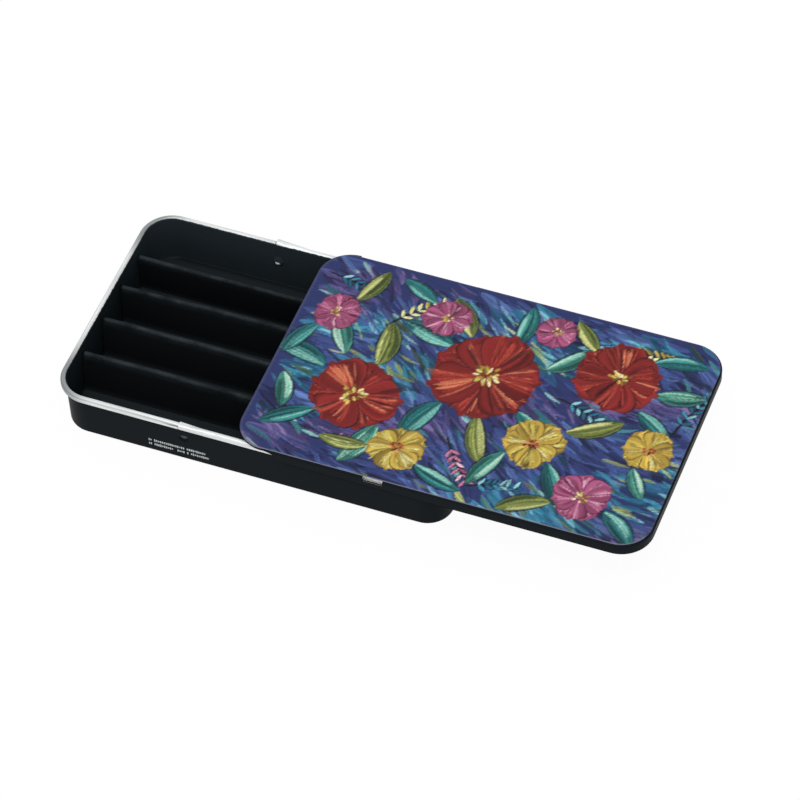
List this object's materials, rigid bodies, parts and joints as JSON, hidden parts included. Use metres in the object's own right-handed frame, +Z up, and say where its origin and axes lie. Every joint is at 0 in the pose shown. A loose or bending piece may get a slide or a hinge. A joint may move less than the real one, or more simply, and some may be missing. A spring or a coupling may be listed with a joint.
{
  "type": "storage tin",
  "caption": "Pocket tinplate storage tin with a slide lid that locks on squeeze catches, and a folded card insert that divides it into long lanes.",
  "frame": {"origin": "middle of the flat foot panel that the pan stands on", "axes": "+X along the lanes, towards the end where the lid comes out; +Y across the tin, away from the side that the picture shows; +Z up"},
  "size_m": [0.1388, 0.062, 0.0139],
  "materials": {
    "pan_lacquer": "black satin lacquer on tinplate, with the curled rim left bare",
    "insert_card": "matte black card",
    "lid_lacquer": "black satin lacquer on tinplate",
    "label_print": "printed film with a satin face"
  },
  "bodies": {
    "base": {"base_pan": "pan_lacquer", "divider_insert": "insert_card"},
    "lid": {"slide_lid": "lid_lacquer", "lid_label": "label_print"}
  },
  "joints": [
    {"name": "lid_slide", "type": "slide", "parent": "base", "child": "lid", "axis": [1, 0, 0], "range_m": [-0.04375, 0.02]}
  ]
}
